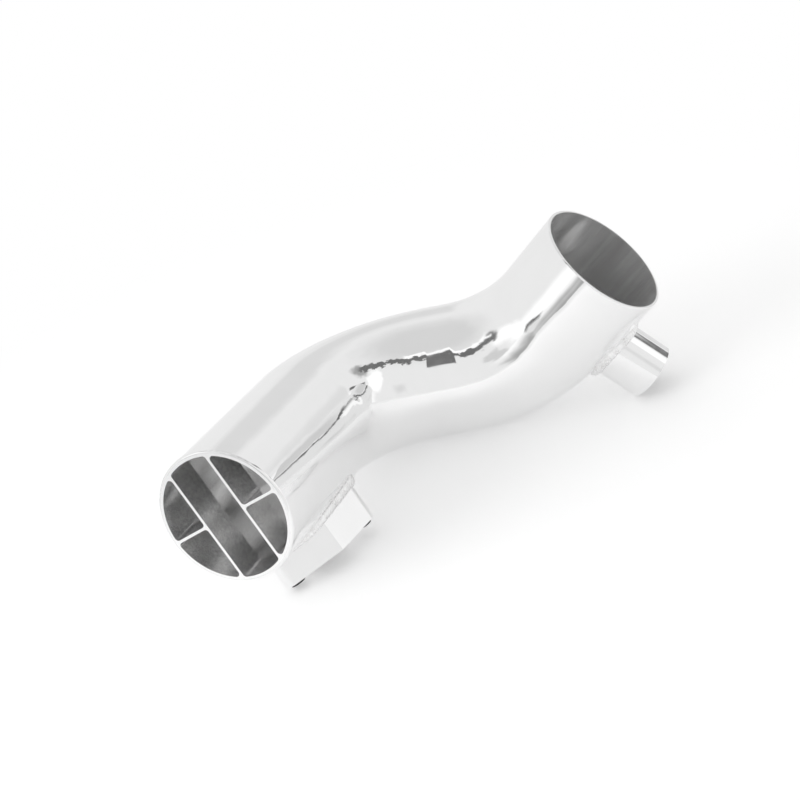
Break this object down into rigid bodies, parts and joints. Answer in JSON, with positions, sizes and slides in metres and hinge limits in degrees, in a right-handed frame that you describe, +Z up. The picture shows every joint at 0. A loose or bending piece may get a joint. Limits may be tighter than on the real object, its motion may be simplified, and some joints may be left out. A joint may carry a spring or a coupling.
{
  "type": "car air intake pipe",
  "caption": "Polished aluminium intake pipe with two bends, a vaned flow straightener in the inlet, a welded sensor pad and a welded hose port near the outlet.",
  "frame": {"origin": "on the ground under the middle of the part's outline, lying as it comes to rest", "axes": "+Z up, +X level along the inlet pipe in the direction of the air, the outlet towards -Y"},
  "size_m": [0.2422, 0.2266, 0.1173],
  "materials": {
    "polished_tube": "mirror polished",
    "machined_straightener": "fine machined face, brushed cells",
    "satin_pad": "satin, machined block",
    "polished_port": "polished",
    "weld": "as welded, rippled",
    "black_screw": "black oxide"
  },
  "bodies": {
    "root": {"intake_tube": "polished_tube", "flow_straightener": "machined_straightener", "sensor_pad": "satin_pad", "sensor_pad_weld": "weld", "inner_sensor_screw": "black_screw", "outer_sensor_screw": "black_screw", "return_port": "polished_port", "return_port_weld": "weld"}
  },
  "joints": []
}
